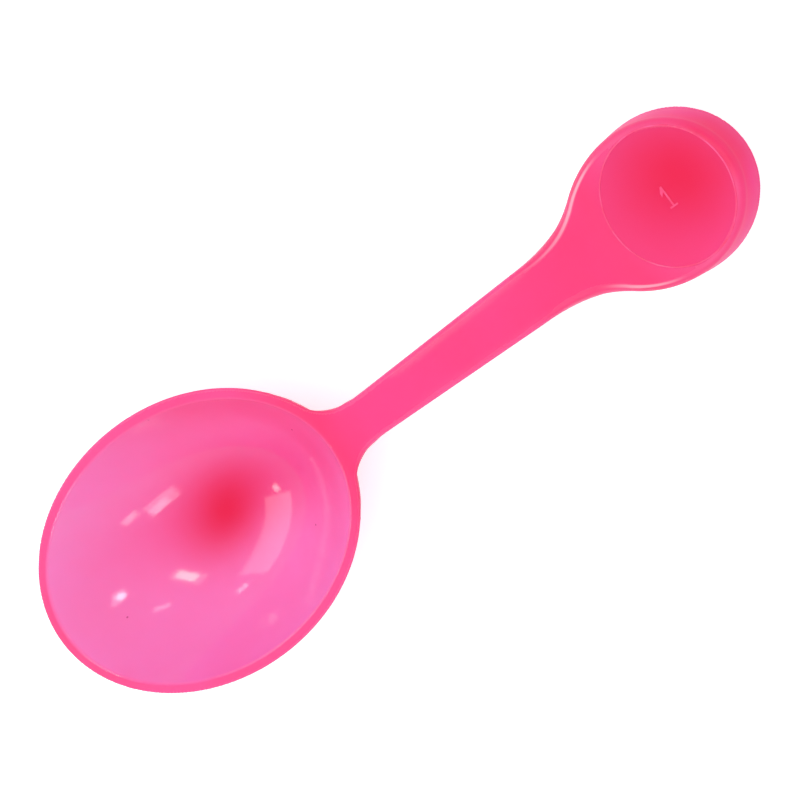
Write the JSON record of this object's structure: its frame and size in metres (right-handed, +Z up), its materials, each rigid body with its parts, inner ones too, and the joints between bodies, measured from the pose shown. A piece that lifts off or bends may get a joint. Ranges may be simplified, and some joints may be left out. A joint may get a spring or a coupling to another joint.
{
  "type": "double-ended measuring spoon",
  "caption": "One-piece plastic measuring spoon: a deep oval bowl that opens upwards, a slim handle, and a small round cup at the far end that opens downwards.",
  "frame": {"origin": "on the table under the middle of the spoon, halfway along its length and on its plane of symmetry", "axes": "+X runs along the handle from the bowl towards the cup, +Z points up out of the bowl, and the spoon rests on z = 0 on the bowl's underside and the cup's mouth"},
  "size_m": [0.168, 0.052, 0.017],
  "materials": {
    "pink_plastic": "gloss, translucent"
  },
  "bodies": {
    "root": {"bowl": "pink_plastic", "bowl_rim": "pink_plastic", "neck": "pink_plastic", "handle": "pink_plastic", "shoulder": "pink_plastic", "cup_wall": "pink_plastic", "cup_base": "pink_plastic"}
  },
  "joints": []
}
